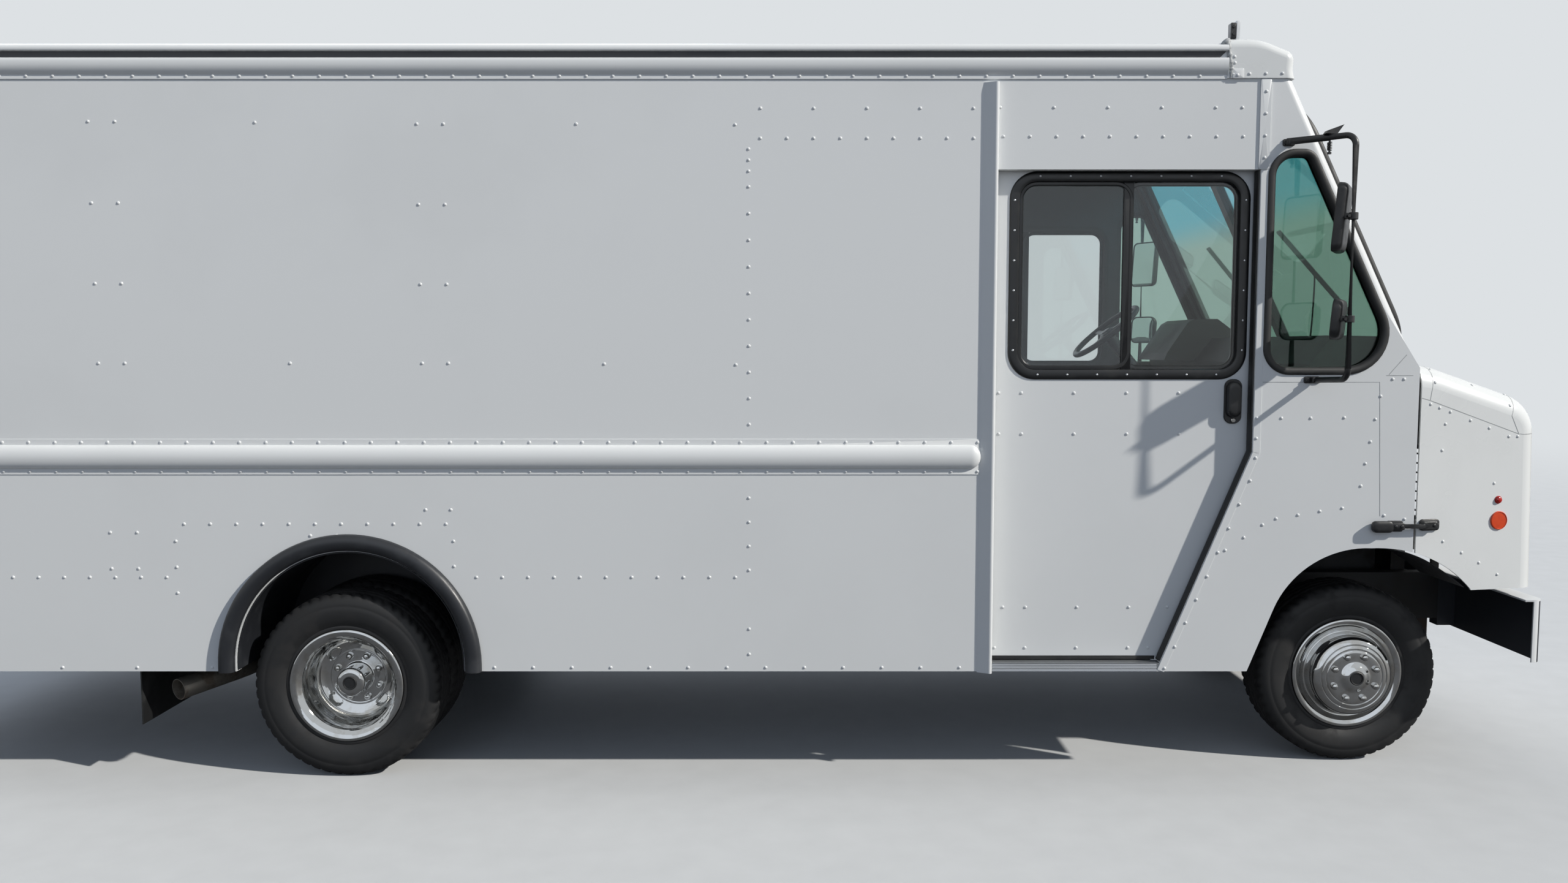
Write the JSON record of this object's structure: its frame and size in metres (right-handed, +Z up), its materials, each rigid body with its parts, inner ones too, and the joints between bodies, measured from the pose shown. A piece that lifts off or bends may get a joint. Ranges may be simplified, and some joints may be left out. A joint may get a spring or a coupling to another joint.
{
  "type": "walk-in step van for food truck conversion",
  "caption": "White walk-in step van with a riveted box body, sliding side doors, swing rear doors, tilting hood, steered front wheels and twin rear wheels.",
  "frame": {"origin": "on the ground, at the middle of the van's length and width", "axes": "+X towards the front, +Y towards the left side, +Z up"},
  "size_m": [7.643, 3.0464, 3.278],
  "materials": {
    "white_enamel": "gloss enamel over riveted aluminium and moulded panels",
    "chassis_paint": "satin black chassis paint",
    "floor_plate": "mill-finish floor plate",
    "window_glass": "lightly green tinted safety glass",
    "moulded_rubber": "moulded EPDM",
    "tyre_rubber": "vulcanised rubber",
    "chrome_plate": "polished plate",
    "black_plastic": "textured black moulding",
    "seat_vinyl": "black seat vinyl",
    "lamp_lens": "moulded lamp lenses",
    "exhaust_steel": "weathered pipe",
    "axle_iron": "painted castings",
    "engine_paint": "cast block"
  },
  "bodies": {
    "van": {"chassis_frame": "chassis_paint", "cargo_floor": "floor_plate", "cab_floor": "floor_plate", "side_panel_right": "white_enamel", "side_panel_left": "white_enamel", "door_headers": "white_enamel", "cowl_side_right": "white_enamel", "cowl_side_left": "white_enamel", "roof": "white_enamel", "roof_rails": "white_enamel", "front_cap": "white_enamel", "door_pillars": "white_enamel", "rub_rails": "white_enamel", "rear_flares": "moulded_rubber", "windscreen_frame": "white_enamel", "cab_glass": "window_glass", "firewall": "chassis_paint", "dashboard": "black_plastic", "driver_seat": "seat_vinyl", "engine_block": "engine_paint", "radiator": "chassis_paint", "rear_axle": "axle_iron", "front_axle": "axle_iron", "rear_frame": "white_enamel", "front_bumper": "white_enamel", "rear_bumper": "chassis_paint", "mirrors": "black_plastic", "body_lamps": "lamp_lens", "fuel_tank": "chassis_paint", "exhaust_pipe": "exhaust_steel", "mud_flaps": "moulded_rubber"},
    "knuckle_right": {"knuckle_right": "axle_iron"},
    "knuckle_left": {"knuckle_left": "axle_iron"},
    "wheel_front_right": {"tyre_front_right": "tyre_rubber", "rim_front_right": "chrome_plate"},
    "wheel_front_left": {"tyre_front_left": "tyre_rubber", "rim_front_left": "chrome_plate"},
    "wheels_rear_right": {"tyres_rear_right": "tyre_rubber", "rims_rear_right": "chrome_plate"},
    "wheels_rear_left": {"tyres_rear_left": "tyre_rubber", "rims_rear_left": "chrome_plate"},
    "steering_wheel": {"steering_wheel": "black_plastic"},
    "hood": {"hood": "white_enamel", "grille": "black_plastic", "hood_lamps": "lamp_lens"},
    "side_door_right": {"side_door_right": "white_enamel", "side_door_glass_right": "window_glass"},
    "side_door_left": {"side_door_left": "white_enamel", "side_door_glass_left": "window_glass"},
    "rear_door_right": {"rear_door_right": "white_enamel"},
    "rear_door_left": {"rear_door_left": "white_enamel"}
  },
  "joints": [
    {"name": "steer_right", "type": "hinge", "parent": "van", "child": "knuckle_right", "pos_m": [3.0595, -0.72, 0.412], "axis": [0, 0, 1], "range_deg": [-35, 35]},
    {"name": "front_wheel_right_roll", "type": "hinge", "parent": "knuckle_right", "child": "wheel_front_right", "pos_m": [3.0595, -0.8, 0.412], "axis": [0, 1, 0], "continuous": true},
    {"name": "rear_wheels_right_roll", "type": "hinge", "parent": "van", "child": "wheels_rear_right", "pos_m": [-1.4615, -0.8745, 0.412], "axis": [0, 1, 0], "continuous": true},
    {"name": "side_door_right_slide", "type": "slide", "parent": "van", "child": "side_door_right", "axis": [-1, 0, 0], "range_m": [0, 0.985]},
    {"name": "rear_door_right_swing", "type": "hinge", "parent": "van", "child": "rear_door_right", "pos_m": [-3.7265, -0.76, 1.85], "axis": [0, 0, 1], "range_deg": [0, 180]},
    {"name": "steer_left", "type": "hinge", "parent": "van", "child": "knuckle_left", "pos_m": [3.0595, 0.72, 0.412], "axis": [0, 0, 1], "range_deg": [-35, 35]},
    {"name": "front_wheel_left_roll", "type": "hinge", "parent": "knuckle_left", "child": "wheel_front_left", "pos_m": [3.0595, 0.8, 0.412], "axis": [0, 1, 0], "continuous": true},
    {"name": "rear_wheels_left_roll", "type": "hinge", "parent": "van", "child": "wheels_rear_left", "pos_m": [-1.4615, 0.8745, 0.412], "axis": [0, 1, 0], "continuous": true},
    {"name": "side_door_left_slide", "type": "slide", "parent": "van", "child": "side_door_left", "axis": [-1, 0, 0], "range_m": [0, 0.985]},
    {"name": "rear_door_left_swing", "type": "hinge", "parent": "van", "child": "rear_door_left", "pos_m": [-3.7265, 0.76, 1.85], "axis": [0, 0, -1], "range_deg": [0, 180]},
    {"name": "steering_wheel_turn", "type": "hinge", "parent": "van", "child": "steering_wheel", "pos_m": [2.3105, 0.55, 1.996], "axis": [-0.6347, 0, 0.7727], "range_deg": [-560, 560]},
    {"name": "hood_tilt", "type": "hinge", "parent": "van", "child": "hood", "pos_m": [3.7285, 0, 0.902], "axis": [0, 1, 0], "range_deg": [0, 65]}
  ],
  "couplings": [
    {"joint": "steer_left", "follows": "steer_right", "ratio": 1},
    {"joint": "steering_wheel_turn", "follows": "steer_right", "ratio": 16}
  ]
}
